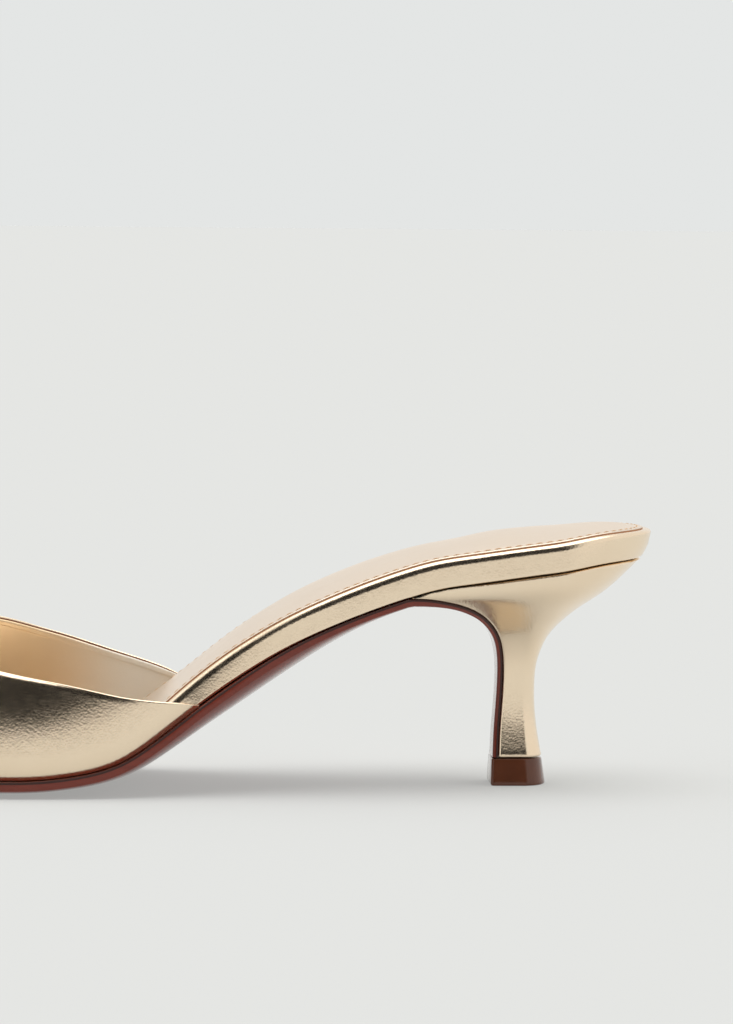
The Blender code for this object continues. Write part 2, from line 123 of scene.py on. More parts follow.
# Heel and top piece
SEAT_LENGTH = 0.0622
SEAT_BACK = 0.0027
SEAT_SIDE = 0.0003
SEAT_KICK = 0.0010
SEAT_KICK_LENGTH = 0.026
TIP_BACK = 0.0271
TIP_DEPTH = 0.0113
TIP_WIDTH = 0.0128
HEEL_CORNER = 0.0008
HEEL_LIP = 0.0005
SEAT_ROLL = 0.0008
SEAT_ROLL_SHARES = ((0.4, 0.1), (0.1, 0.5), (0.0, 1.0))
ROLL_FADE = 0.6
TIP_EDGE = 0.0003
TOP_PIECE_HEIGHT = 0.0068
TOP_PIECE_FLARE = 0.0010
TOP_PIECE_FRONT_FLARE = 0.0002
TOP_PIECE_CORNER = 0.0006

# Stitches round the sock: their arch is cut off at its ends, and its other shares are of the radius
STITCH_LENGTH = 0.0020
STITCH_PITCH = 0.0026
STITCH_INSET = 0.0013
STITCH_RADIUS = 0.00015
STITCH_ENDS = 0.08
STITCH_ARCH = 1.2
STITCH_DIVE = 0.9
STITCH_THIN = 0.55
CHANNEL_DEPTH = 0.00010
CHANNEL_HALF = 0.0005
STITCH_FRONT = 0.72

# How fine the faces are
EDGE_STEP = 0.0015
HEEL_STEPS = 24
TOE_STEPS = 28
WALL_STEPS = 56
WALL_CROWDING = 0.75
CREASE_FADE = 4
FOLD_STEPS = 10
STEM_STEPS = 6
SHOULDER_STEPS = 5
SOCK_ROW = 0.00025
SOCK_ROWS = 14
SOCK_SHARES = (0.9, 0.78, 0.64, 0.5, 0.36, 0.22, 0.1, 0.0)
CUT_ROWS = 2
SIDE_STEPS = 8
CORNER_STEPS = 5
FOOT_STEPS = 4
RAND_CORNER_STEPS = 15
TIP_EDGE_STEPS = 3
TIP_SIDE_STEPS = 5
SOLE_CORNER_STEPS = 4
UNDER_STEPS = 14
STITCH_STEPS = 6
TUBE_SIDES = 8
TURN_STEP = 0.002
MERGE = 1e-6
SHARP_ANGLE = math.radians(40)

# Rows either side that a row's direction is read from, and the least share of a step between turns
NORMAL_SPAN = 2
NEAREST = 0.3

# How tables are read: samples over a whole table, and the share either side that each is averaged over
SAMPLES = 500
BLEND = 0.03
HEEL_BLEND = 0.10

LATERAL = -1
MEDIAL = 1

# Grain of the metallic leather: pebbles and patches per metre, and a slow wave under them
GRAIN_SCALE = 1900.0
PATCH_SCALE = 60.0
WAVE_SCALE = 90.0
WAVE_HEIGHT = 0.00003
PATCH_RANGE = (0.35, 0.70)
GLOSS_SPREAD = 0.02
FIBRE = 2.2
FIBRE_HEIGHT = 0.25

# Sole, top piece and fibres: spots and grains per metre, how high a grain stands, and the tip's gloss
SOLE_STREAKS = 900.0
STREAK_STRETCH = (0.15, 1.0, 1.0)
SOLE_GRAIN = 2200.0
SOLE_GRAIN_HEIGHT = 0.000006
TIP_SPOTS = 260.0
TIP_GLOSS_SPOTS = 700.0
TIP_GLOSS_RANGE = (0.3, 0.7)
TIP_GLOSS = (0.20, 0.26)
TIP_GRAIN = 3000.0
TIP_GRAIN_HEIGHT = 0.000004
FIBRE_FINER = 1.5
FIBRE_GRAIN_HEIGHT = 0.00002

# Camera, fitted to the photo: angles in degrees, lens as pixels of the 1024 pixel tall image
IMAGE_HEIGHT = 1024
FOCAL_PIXELS = 5530
SENSOR = 36.0
CAMERA_TURN = 3.0
CAMERA_RISE = 3.6
CAMERA_ROLL = 0.46
CAMERA_DISTANCE = 1.389
CAMERA_AIM = (-0.0385, 0.0, 0.0683)
CLIP_NEAR = 0.05
CLIP_FAR = 48.0

# Studio: strengths of the light, where its dim side lies, in degrees from the outer side and up, its
# displayed colour, and the least length that is divided by
SIDE_LIGHT = 0.87
TOP_LIGHT = 2.6
TOP_START = 54
TOP_FULL = 70
DIM_SHARE = 0.0
DIM_INNER = 20
DIM_OUTER = 40
DIM_LOW = 2
DIM_LOW_FULL = 8
DIM_HIGH_FULL = 52
DIM_HIGH = 64
LIGHT_COLOUR = (255, 253, 250)
TINY = 0.001
FLOOR_RADIUS = 12.0
FLOOR_SIDES = 96
FLOOR_COLOUR = (0.40, 0.40, 0.40, 1.0)
FLOOR_GLOW = (0.316, 0.331, 0.324, 1.0)
BACKDROP = (0.775, 0.790, 0.783, 1.0)

# Leathers: colour and worn colour, scene linear, then how metallic, how rough, and the grain's height
LEATHERS = {
    "gold_leather": ((0.93, 0.77, 0.575, 1.0), (0.91, 0.745, 0.55, 1.0), 0.97, 0.20, 0.000020),
    "gold_lining": ((0.97, 0.75, 0.48, 1.0), (0.94, 0.71, 0.44, 1.0), 0.70, 0.38, 0.000014),
    "sock_gold": ((0.82, 0.71, 0.59, 1.0), (0.80, 0.69, 0.57, 1.0), 0.80, 0.36, 0.000010),
}

# Painted light on the lining towards the wings: its pale colour, how metallic it is, and where along X it
# takes over
LINING_PAINTED_LIGHT = (1.0, 0.95, 0.84, 1.0)
PAINTED_LIGHT_METALLIC = 0.0
PAINTED_LIGHT_START = -0.124
PAINTED_LIGHT_FULL = -0.094

# Darker and lighter tone of the other materials as displayed, from 0 to 255
SOLE_TONES = ((104, 38, 24), (134, 54, 36))
TIP_TONES = ((92, 52, 34), (108, 62, 42))

# Thread, raw edge, the topline's ink and the painted shade along the top of the sole's edge: darker and
# lighter tone as displayed, and fibres per metre
FIBRES = {
    "cut_edge": ((168, 112, 74), (196, 140, 98), 1500.0),
    "sole_edge_painted_shade": ((48, 20, 14), (66, 28, 20), 1500.0),
    "topline_ink": ((120, 66, 34), (150, 88, 48), 1500.0),
    "tan_thread": ((206, 164, 118), (228, 190, 146), 2600.0),
}

# Outline: half width and middle line as shares of the ball width, by share of the length
OUTLINE = (
    ("share", "half", "middle"),
    (0.00, 0.327, 0.000),
    (0.11, 0.327, 0.000),
    (0.18, 0.329, -0.004),
    (0.28, 0.330, -0.019),
    (0.38, 0.344, -0.028),
    (0.46, 0.394, -0.035),
    (0.54, 0.455, -0.032),
    (0.61, 0.493, -0.015),
    (0.66, 0.500, -0.006),
    (0.74, 0.468, 0.006),
    (0.83, 0.405, 0.020),
    (0.90, 0.350, 0.030),
    (1.00, 0.275, 0.038),
)

# Feather line: height over the tread as a share of the heel lift
FEATHER = (
    ("share", "height"),
    (0.000, 1.000),
    (0.045, 1.000),
    (0.100, 0.968),
    (0.180, 0.916),
    (0.215, 0.894),
    (0.252, 0.846),
    (0.310, 0.747),
    (0.360, 0.642),
    (0.410, 0.503),
    (0.460, 0.341),
    (0.500, 0.195),
    (0.540, 0.074),
    (0.580, 0.025),
    (0.635, 0.000),
    (0.718, 0.000),
    (0.850, 0.021),
    (1.000, 0.090),
)

# Underside: how much of the tread's and of the waist's rounding shows, and where the edge thins
UNDERSIDE = (
    ("share", "tread", "waist", "edge"),
    (0.240, 0.0, 0.20, 0.80),
    (0.262, 0.0, 0.24, 0.78),
    (0.295, 0.0, 0.42, 0.72),
    (0.330, 0.0, 0.62, 0.80),
    (0.375, 0.0, 0.90, 0.94),
    (0.430, 0.0, 1.00, 1.00),
    (0.510, 0.3, 0.55, 1.00),
    (0.570, 0.8, 0.12, 1.00),
    (0.635, 1.0, 0.00, 1.00),
    (0.718, 1.0, 0.00, 1.00),
    (0.900, 1.0, 0.00, 1.00),
    (1.000, 0.8, 0.00, 1.00),
)

# Last over the feather line: height as a share of the instep height, and how square its wall stands
LAST = (
    ("share", "height", "square"),
    (0.42, 1.000, 2.60),
    (0.50, 0.960, 2.55),
    (0.60, 0.870, 2.45),
    (0.67, 0.795, 2.35),
    (0.75, 0.665, 2.20),
    (0.88, 0.640, 1.95),
    (1.00, 0.640, 1.75),
)

# Topline: height of the upper's edge as a share of the last's height, by where its strip starts
TOPLINE = (
    ("share", "lateral", "medial"),
    (0.430, -0.105, -0.125),
    (0.460, 0.004, 0.004),
    (0.480, 0.076, 0.118),
    (0.500, 0.148, 0.216),
    (0.530, 0.260, 0.354),
    (0.561, 0.352, 0.464),
    (0.605, 0.450, 0.588),
    (0.664, 0.550, 0.722),
    (0.726, 0.670, 0.806),
    (0.806, 0.800, 0.862),
    (0.887, 0.890, 0.905),
    (1.000, 0.940, 0.940),
)

# Sock: how much of its crown it has, full on the heel pad and flat where the vamp wraps it
CROWN = (
    ("share", "crown"),
    (0.000, 0.400),
    (0.054, 0.540),
    (0.115, 0.880),
    (0.155, 1.000),
    (0.205, 0.640),
    (0.285, 0.760),
    (0.330, 0.660),
    (0.380, 0.400),
    (0.430, 0.100),
    (0.480, 0.000),
    (1.000, 0.000),
)

# Heel: how far its front and back have run from the tip to the seat, how high each stands between the
# tip and the feather line, and how far its sides have spread from the tip to the seat
HEEL = (
    ("row", "front", "front_rise", "back", "back_rise", "spread"),
    (0.00, 0.000, 0.000, 0.000, 0.000, 0.000),
    (0.10, -0.009, 0.142, -0.050, 0.138, -0.042),
    (0.20, -0.034, 0.307, -0.082, 0.300, -0.070),
    (0.30, -0.048, 0.472, -0.076, 0.462, -0.062),
    (0.39, -0.034, 0.580, -0.022, 0.561, 0.012),
    (0.48, 0.012, 0.672, 0.055, 0.645, 0.150),
    (0.57, 0.105, 0.750, 0.198, 0.714, 0.350),
    (0.66, 0.242, 0.825, 0.378, 0.776, 0.575),
    (0.75, 0.442, 0.885, 0.576, 0.823, 0.766),
    (0.85, 0.653, 0.931, 0.771, 0.895, 0.915),
    (0.94, 0.823, 0.969, 0.897, 0.954, 0.980),
    (1.00, 0.985, 0.999, 1.000, 1.000, 1.000),
)

# Creases, listed one by one: where along the shoe, how far up the wall or across the sock, how long and
# wide as shares of the length, how slanted in degrees, and how deep in metres, a ridge being negative
CREASES = (
    ("piece", "share", "up", "long", "wide", "slant", "depth"),
    ("upper", 0.560, 0.72, 0.050, 0.014, 18, 0.00016),
    ("upper", 0.585, 0.50, 0.060, 0.018, 24, -0.00014),
    ("upper", 0.640, 0.60, 0.070, 0.016, 30, 0.00020),
    ("upper", 0.680, 0.45, 0.060, 0.022, 35, -0.00018),
    ("upper", 0.735, 0.60, 0.055, 0.018, 40, 0.00022),
    ("upper", 0.500, 0.45, 0.030, 0.016, -20, -0.00010),
    ("upper", 0.830, 0.30, 0.040, 0.022, 50, 0.00015),
    ("rand", 0.150, 0.60, 0.045, 0.010, 4, 0.00007),
    ("rand", 0.270, 0.40, 0.050, 0.012, -5, -0.00006),
    ("rand", 0.360, 0.60, 0.040, 0.010, 6, 0.00008),
    ("rand", 0.430, 0.50, 0.022, 0.012, -8, -0.00007),
    ("sock", 0.140, 0.10, 0.060, 0.060, 0, 0.00016),
    ("sock", 0.300, -0.30, 0.060, 0.022, 25, 0.00012),
    ("sock", 0.360, 0.35, 0.055, 0.022, -20, -0.00012),
    ("sock", 0.430, 0.00, 0.040, 0.030, 10, 0.00012),
)

TREAD_TOP = OUTSOLE_EDGE + TREAD_ROUND
TIP_FRONT = TIP_BACK + TIP_DEPTH
TIP_TOP = TOP_PIECE_HEIGHT + CLEARANCE
TOP_PIECE_FRONT = TIP_FRONT + CLEARANCE + FLAP_THICKNESS
SIDE_RUN = LENGTH - HEEL_ROUND - TOE_ROUND
WING_PLACE = WING_END * LENGTH
ORIGIN_ALONG = (TIP_BACK - TOP_PIECE_FLARE + TOP_PIECE_FRONT + TOP_PIECE_FRONT_FLARE) / 2


def curve(table, column, at):
    """Reads one column of a table on a curve through its rows that never overshoots them."""
    shares = [row[0] for row in table[1:]]
    values = [row[table[0].index(column)] for row in table[1:]]
    if at <= shares[0]:
        return values[0]
    if at >= shares[-1]:
        return values[-1]
    spans = range(len(shares) - 1)
    rises = [(values[k + 1] - values[k]) / (shares[k + 1] - shares[k]) for k in spans]
    slopes = [rises[0]]
    for before, after in zip(rises, rises[1:]):
        level = before * after <= 0
        slopes.append(0.0 if level else 2 * before * after / (before + after))
    slopes.append(rises[-1])
    k = max(i for i in spans if shares[i] <= at)
    width = shares[k + 1] - shares[k]
    t = (at - shares[k]) / width
    start = (1 + 2 * t) * (1 - t) ** 2 * values[k] + t * (1 - t) ** 2 * width * slopes[k]
    end = t * t * (3 - 2 * t) * values[k + 1] + t * t * (t - 1) * width * slopes[k + 1]
    return start + end


def mixed(first, second, share):
    """A value that share of the way from the first to the second."""
    return first + (second - first) * share


def blended(table, column, blend):
    """A reader of one column that rounds its curve a little, so that no row shows as a kink."""
    exact = [curve(table, column, k / SAMPLES) for k in range(SAMPLES + 1)]
    spread = round(blend * SAMPLES)
    weights = [1 + math.cos(math.pi * j / (spread + 1)) for j in range(-spread, spread + 1)]
    before = [2 * exact[0] - exact[k] for k in range(spread, 0, -1)]
    beyond = [2 * exact[-1] - exact[-1 - k] for k in range(1, spread + 1)]
    longer = before + exact + beyond
    rounded = []
    for k in range(SAMPLES + 1):
        rounded.append(sum(weight * value for weight, value in zip(weights, longer[k:])) / sum(weights))

    def read(share):
        spot = min(max(share, 0.0), 1.0) * SAMPLES
        k = min(int(spot), SAMPLES - 1)
        return mixed(rounded[k], rounded[k + 1], spot - k)

    return read


def readers(table, blend=BLEND):
    """Readers of all columns of a table after its first."""
    return [blended(table, column, blend) for column in table[0][1:]]


half_width, middle_line = readers(OUTLINE)
(feather_share,) = readers(FEATHER)
tread_share, waist_share, edge_share = readers(UNDERSIDE)
ridge_share, wall_square = readers(LAST)
topline = dict(zip((LATERAL, MEDIAL), readers(TOPLINE)))
(crown_share,) = readers(CROWN)
heel_share = dict(zip(HEEL[0][1:], readers(HEEL, HEEL_BLEND)))


def ease(low, high, at):
    """Rises smoothly from 0 at low to 1 at high."""
    t = min(max((at - low) / (high - low), 0.0), 1.0)
    return t * t * (3 - 2 * t)


def crease(piece, share, up, height):
    """How deep the listed creases of one piece are at a place; height turns up into metres."""
    depth_here = 0.0
    for name, at, level, long, wide, slant, depth in CREASES[1:]:
        if name != piece:
            continue
        run = share - at
        rise = (up - level) * height / LENGTH
        turned = math.radians(slant)
        lengthways = (run * math.cos(turned) + rise * math.sin(turned)) / long
        crossways = (rise * math.cos(turned) - run * math.sin(turned)) / wide
        depth_here += depth * math.exp(-lengthways ** 2 - crossways ** 2)
    return depth_here


def feather(along):
    """Height of the feather line, where the sole and the heel meet what stands on them."""
    kick = SEAT_KICK * (1 - ease(0.0, SEAT_KICK_LENGTH, along))
    return TREAD_TOP + HEEL_LIFT * feather_share(along / LENGTH) + kick


def feather_up(along):
    """Unit vector square to the feather line, as (along, up)."""
    step = LENGTH / SAMPLES
    rise = (feather(along + step) - feather(along - step)) / (2 * step)
    size = math.hypot(rise, 1.0)
    return -rise / size, 1.0 / size


def reach(turn):
    """Distance along the shoe of a turn round the outline: 0 to 1 heel, 1 to 2 sides, 2 to 3 toe."""
    if turn < 1:
        return HEEL_ROUND * (1 - math.cos(turn * math.pi / 2))
    if turn > 2:
        return LENGTH - TOE_ROUND * (1 - math.sin((turn - 2) * math.pi / 2))
    return HEEL_ROUND + (turn - 1) * SIDE_RUN


def turn_at(along):
    """The turn of a place on the sides."""
    return 1 + (along - HEEL_ROUND) / SIDE_RUN


def roundness(turn):
    """How full the outline is: 0 at the heel's back and the toe's tip, 1 along the sides."""
    if turn < 1:
        return math.sin(turn * math.pi / 2)
    if turn > 2:
        return math.cos((turn - 2) * math.pi / 2)
    return 1.0


def middle(along):
    """Sideways place of the shoe's middle line."""
    return BALL_WIDTH * middle_line(along / LENGTH)


def half_at(turn):
    """Half the width of the outline."""
    return BALL_WIDTH * half_width(reach(turn) / LENGTH) * roundness(turn)


def outline(turn, side):
    """A point of the outline, as (along, sideways)."""
    along = reach(turn)
    return along, middle(along) + side * half_at(turn)


def inset(turn, side, distance):
    """A point of the outline moved inwards, square to the outline."""
    ahead = outline(min(turn + TURN_STEP, 3.0), side)
    behind = outline(max(turn - TURN_STEP, 0.0), side)
    run = ahead[0] - behind[0]
    drift = ahead[1] - behind[1]
    if turn <= 0 or turn >= 3:
        run = 0.0
    size = math.hypot(run, drift)
    along, across = outline(turn, side)
    return along + side * drift / size * distance, across - side * run / size * distance


def place(along, across, height):
    """A point of the shoe in the part's frame."""
    return Vector((ORIGIN_ALONG - along, across, height))


def turns(first, last):
    """Turns round half the outline, closer at the round ends."""
    side_steps = round(SIDE_RUN / EDGE_STEP)
    every = [k / HEEL_STEPS for k in range(HEEL_STEPS)]
    every += [1 + k / side_steps for k in range(side_steps)]
    every += [2 + k / TOE_STEPS for k in range(TOE_STEPS + 1)]
    margin = NEAREST / side_steps
    inner = [turn for turn in every if first + margin < turn < last - margin]
    return [first] + inner + [last]


def spine(along):
    """The place on the last's ridge that a strip of the upper heads for."""
    if along <= SPINE_START:
        return along
    power = (LENGTH - SPINE_START) / (SPINE_END - SPINE_START)
    left = (LENGTH - along) / (LENGTH - SPINE_START)
    return mixed(SPINE_START, SPINE_END, 1 - left ** power)


def last_height(along):
    """Height of the last's ridge over the feather line, for the strip that starts here."""
    return INSTEP_HEIGHT * ridge_share(spine(along) / LENGTH)


def lean(turn, side, height):
    """How far the last's wall has come in from the outline at a height over the feather line."""
    along, across = outline(turn, side)
    square = wall_square(along / LENGTH)
    share = min(height / last_height(along), 1.0)
    ridge = spine(along)
    span = math.hypot(ridge - along, middle(ridge) - across)
    return span * (1 - (1 - share ** square) ** (1 / square))


def wing_tuck(turn):
    """How far the upper wraps the footbed: 0 behind the wings, 1 from their ends on."""
    return ease(WING_PLACE - WING_TUCK, WING_PLACE - CLEARANCE, reach(turn))


def footbed_inset(turn, side, height):
    """Where the footbed's edge lies: flush with the sole behind, inside the upper's wall in front."""
    wrapped = UPPER_SET_IN + UPPER_WALL + 2 * CLEARANCE + lean(turn, side, height)
    return wrapped * wing_tuck(turn)


def undercut(turn, share):
    """How far the footbed's side is drawn in under the heel's back, by share of its height."""
    if turn > 1:
        return 0.0
    return HEEL_UNDERCUT * math.cos(turn * math.pi / 2) ** 2 * (1 - share) ** 2


def footbed_height(along):
    """Height of the footbed over the feather line: thicker at the seat, thinner under the toes."""
    behind = 1 - ease(SEAT_LENGTH / 2, 2 * SEAT_LENGTH, along)
    front = ease((WING_END - THIN_BEFORE) * LENGTH, (WING_END + THIN_AFTER) * LENGTH, along)
    height = mixed(FOOTBED_HEIGHT, FOOTBED_SEAT_HEIGHT, behind)
    return height + (FOOTBED_TOE_HEIGHT - FOOTBED_HEIGHT) * front


def sink(along, across):
    """How much lower the footbed's inner side lies just behind the vamp."""
    near = math.exp(-((along / LENGTH - SINK_SHARE) / SINK_SPREAD) ** 2)
    half = BALL_WIDTH * half_width(along / LENGTH)
    return SINK * near * ease(0.0, half, across - middle(along))


def over_feather(along, across, height):
    """A point that stands square to the feather line at a height over it."""
    forward, up = feather_up(along)
    return place(along + forward * height, across, feather(along) + up * height)


def mesh_object(name, mesh, materials):
    """Makes an object of a mesh and its materials."""
    data = bpy.data.meshes.new(name)
    mesh.to_mesh(data)
    mesh.free()
    for material in materials:
        data.materials.append(material)
    made = bpy.data.objects.new(name, data)
    bpy.context.collection.objects.link(made)
    return made


def new_piece(name, mesh, materials, node):
    """Makes a smooth-shaded piece of a mesh, which stands for a CAD node and rides with it."""
    bmesh.ops.remove_doubles(mesh, verts=mesh.verts, dist=MERGE)
    bmesh.ops.recalc_face_normals(mesh, faces=mesh.faces)
    piece = mesh_object(name, mesh, materials)
    piece.data.shade_smooth()
    piece.data.set_sharp_from_angle(angle=SHARP_ANGLE)
    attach(piece, "root")
    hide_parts(node)
    return piece


def add_skin(mesh, rings, material_index=0, ends=False):
    """Adds faces between neighbouring closed rings of equal count; ends closes the first and last."""
    rows = [[mesh.verts.new(point) for point in ring] for ring in rings]
    count = len(rings[0])
    for lower, upper in zip(rows, rows[1:]):
        for k in range(count):
            after = (k + 1) % count
            face = mesh.faces.new((lower[k], lower[after], upper[after], upper[k]))
            face.material_index = material_index
    if ends:
        for row in (rows[0], rows[-1]):
            mesh.faces.new(row).material_index = material_index
    return rows


def close_across(mesh, row):
    """Closes a ring whose points have partners over the middle line."""
    count = len(row)
    for k in range(count // 2):
        partners = (row[k], row[k + 1], row[count - k - 1], row[(count - k) % count])
        corners = list(dict.fromkeys(partners))
        if len(corners) > 2:
            mesh.faces.new(corners)


def ringed_piece(name, rings, material, node, ends=False):
    """Makes a piece of rings. Its ends are closed over the middle line, or by one face each."""
    mesh = bmesh.new()
    rows = add_skin(mesh, rings, ends=ends)
    if not ends:
        close_across(mesh, rows[0])
        close_across(mesh, rows[-1])
    new_piece(name, mesh, [material], node)


def whole_outline():
    """Turns and sides all round the shoe, from the heel's back along the outer side."""
    around = turns(0.0, 3.0)
    return [(turn, LATERAL) for turn in around] + [(turn, MEDIAL) for turn in around[-2:0:-1]]


def arc(start, end, steps):
    """Angles from start to end in degrees, as radians."""
    return [math.radians(start + (end - start) * k / steps) for k in range(steps + 1)]


def tube_ring(centre, radius, across, up, angles=arc(0, 360, TUBE_SIDES)[:-1]):
    """Points all round the middle of a thread or a line of ink, or at some angles round a fold."""
    return [centre + radius * (across * math.cos(angle) + up * math.sin(angle)) for angle in angles]


def rounded_edge(radius, steps):
    """Rise and set-in of the levels of a rounded lower edge, from its foot up to its side."""
    return [(radius * (1 - math.cos(a)), radius * (1 - math.sin(a))) for a in arc(0, 90, steps)]


def strip_top(turn, side):
    """Share of the last's height where the upper's edge runs, down to a thin point at its wing."""
    return min(max(topline[side](reach(turn) / LENGTH), WING_EDGE), 1.0)


def wing_thickness(turn):
    """How thick the layers are there: skived thin at the wing's point, full a little further on."""
    return mixed(WING_POINT, 1.0, ease(0.0, WING_TAPER, reach(turn) - WING_PLACE))


def wall_share(level):
    """How far up the wall a level is, with the levels crowded together at the sole and the topline."""
    share = level / WALL_STEPS
    return share - WALL_CROWDING * math.sin(2 * math.pi * share) / (2 * math.pi)


def upper_point(turn, side, angle, square, creased):
    """A point on the outside of the upper, at an angle up its wall, curled in over the sole."""
    along, across = inset(turn, side, UPPER_SET_IN)
    ridge = spine(along)
    out = math.cos(angle) ** (2 / square)
    rise = math.sin(angle) ** (2 / square)
    full = last_height(along)
    here = mixed(ridge, along, out)
    sideways = mixed(middle(ridge), across, out)
    trough = crease("upper", here / LENGTH, rise, full) * creased
    height = full * rise - trough * math.sin(angle)
    curl = FEATHER_CURL * max(1 - height / FEATHER_CURL_HEIGHT, 0.0) ** 2 + trough * math.cos(angle)
    span = math.hypot(here - ridge, sideways - middle(ridge))
    inward = curl / max(span, FEATHER_CURL)
    here = mixed(here, ridge, inward)
    sideways = mixed(sideways, middle(ridge), inward)
    lift = CLEARANCE / feather_up(here)[1]
    return place(here, sideways, feather(here) + lift + height)


def upper_strip(turn, side):
    """The outside of one strip of the upper, from the sole to the topline."""
    square = wall_square(reach(turn) / LENGTH)
    last_angle = math.asin(strip_top(turn, side) ** (square / 2))
    shares = [wall_share(level) for level in range(WALL_STEPS + 1)]
    return [upper_point(turn, side, last_angle * up, square, 1 - up ** CREASE_FADE) for up in shares]


def upper_strips():
    """All strips of the upper from wing to wing round the toe, each as points, inward normals and how
    soft its folded edge is."""
    around = turns(turn_at(WING_PLACE), 3.0)
    order = [(turn, LATERAL) for turn in around] + [(turn, MEDIAL) for turn in around[-2::-1]]
    outside = [upper_strip(turn, side) for turn, side in order]
    strips = []
    for k, (strip, (turn, _)) in enumerate(zip(outside, order)):
        before = outside[max(k - 1, 0)]
        after = outside[min(k + 1, len(outside) - 1)]
        normals = []
        for level in range(len(strip)):
            below = strip[max(level - 1, 0)]
            above = strip[min(level + 1, WALL_STEPS)]
            normal = (after[level] - before[level]).cross(above - below).normalized()
            normals.append(normal * wing_thickness(turn))
        strips.append((strip, normals, ease(SOFT_START, SOFT_FULL, reach(turn) / LENGTH)))
    return strips


def layer_ring(points, normals, softness, near, far, drop):
    """The closed section of one layer of the upper, from near to far off the outside, folded on top.
    The outer layer's edge is softened, and the lining stands out as a bead along its fold."""
    inward = normals[-1]
    upward = points[-1] - points[-2]
    upward = (upward - inward * upward.dot(inward) / inward.length_squared).normalized() * inward.length
    below_top = [0.0]
    for lower, higher in zip(points[-2::-1], points[:0:-1]):
        below_top.append(below_top[-1] + (higher - lower).length)
    below_top.reverse()
    near_side = []
    far_side = []
    for level, (point, normal, depth) in enumerate(zip(points, normals, below_top)):
        lowered = point - upward * drop * wall_share(level) ** LAYER_FADE
        soft = EDGE_SOFT_DEPTH * softness * max(1 - depth / EDGE_SOFT, 0.0) ** 2
        step = BEAD_STEP * ease(BEAD_HEIGHT, BEAD_HEIGHT + BEAD_EDGE, depth)
        near_side.append(lowered + normal * (near + (soft if near == 0.0 else 0.0)))
        far_side.append(lowered + normal * (far - (step if near > 0.0 else 0.0)))
    radius = (far_side[-1] - near_side[-1]).length / 2
    outward = (near_side[-1] - far_side[-1]).normalized()
    upward = upward.normalized()
    centre = (near_side[-1] + far_side[-1]) / 2
    fold = tube_ring(centre, radius, outward, upward, arc(0, 180, FOLD_STEPS)[1:-1])
    return near_side + fold + far_side[::-1]


def make_upper(outer_leather, lining_leather, seam):
    """The folded outer leather, its lining and the brown line between them along the topline."""
    strips = upper_strips()
    lining_start = OUTER_THICKNESS + LAYER_GAP
    lining_end = lining_start + LINING_THICKNESS
    outer = [layer_ring(*strip, 0.0, OUTER_THICKNESS, 0.0) for strip in strips]
    lining = [layer_ring(*strip, lining_start, lining_end, LINING_DROP) for strip in strips]
    line = []
    for points, normals, _ in strips:
        inward = normals[-1]
        upward = (points[-1] - points[-2]).normalized()
        centre = points[-1] + inward * (OUTER_THICKNESS + LAYER_GAP / 2) - upward * SEAM_DROP
        line.append(tube_ring(centre, SEAM_RADIUS, inward, upward))
    ringed_piece("upper_outer", outer, outer_leather, "upper", ends=True)
    ringed_piece("upper_lining", lining, lining_leather, "upper", ends=True)
    ringed_piece("topline_seam", line, seam, "upper", ends=True)


def rand_levels():
    """Levels of the footbed's side: share of its height, rise beyond that share and how far set in."""
    corner = FOOTBED_CORNER
    levels = [(0.0, rise, set_in) for rise, set_in in rounded_edge(FOOTBED_FOOT, FOOT_STEPS)]
    levels += [(share, 0.0, 0.0) for share in FOOTBED_SIDE_SHARES]
    for angle in arc(0, 90, RAND_CORNER_STEPS):
        levels.append((1.0, FOOTBED_CORNER_HEIGHT * (math.sin(angle) - 1), corner * (1 - math.cos(angle))))
    return levels + [(1.0, 0.0, corner + SOCK_INSET / 3), (1.0, 0.0, corner + SOCK_INSET)]


def make_rand(material):
    """The leather-covered footbed board: a rolled foot, a flat side and a rounded top corner."""
    rings = []
    for share, rise, set_in in rand_levels():
        ring = []
        for turn, side in whole_outline():
            here = reach(turn)
            full = footbed_height(here)
            snug = mixed(BACK_SNUG, 1.0, ease(0.0, HEEL_ROUND, here))
            height = share * full + (rise * snug if share == 1.0 else rise)
            distance = footbed_inset(turn, side, full) + undercut(turn, height / full) + set_in
            distance += FEATHER_CURL * ease(0.0, WING_TAPER, here - WING_PLACE) * (1 - share)
            distance += crease("rand", here / LENGTH, height / full, full)
            along, across = inset(turn, side, distance)
            height -= sink(along, across) * height / full
            ring.append(over_feather(along, across, CLEARANCE + height))
        rings.append(ring)
    ringed_piece("footbed_cover", rings, material, "insole")


def sock_edge(turn, side):
    """How far inside the outline the sock's edge lies."""
    top = footbed_height(reach(turn)) + SOCK_EDGE + CLEARANCE
    return footbed_inset(turn, side, top) + SOCK_INSET


def sock_point(turn, side, distance, share=1.0):
    """A point of the sock's top, by distance in from its edge and then by share out from the middle."""
    along, across = inset(turn, side, sock_edge(turn, side) + distance)
    other = inset(turn, -side, sock_edge(turn, -side) + distance)
    half = abs(other[1] - across) / 2
    reached = (1 + share) / 2
    here = (mixed(other[0], along, reached), mixed(other[1], across, reached))
    depth_in = distance + (1 - share) * half
    part = reach(turn) / LENGTH
    full = CROWN_SPAN * BALL_WIDTH
    crown = SOCK_CROWN * crown_share(part) * (1 - (1 - min(depth_in / full, 1.0)) ** 2)
    channel = CHANNEL_DEPTH * math.exp(-((depth_in - STITCH_INSET) / CHANNEL_HALF) ** 2)
    left = max(1 - depth_in / SOCK_SHOULDER, 0.0)
    shoulder = SOCK_SHOULDER * (1 - math.sqrt(1 - left ** 2))
    away = ease(0.0, full / 2, depth_in)
    trough = crease("sock", part, side * share, BALL_WIDTH / 2) * away
    rise = CLEARANCE + footbed_height(reach(turn)) + SOCK_EDGE + crown - channel - shoulder - trough
    return over_feather(*here, rise - sink(*here))


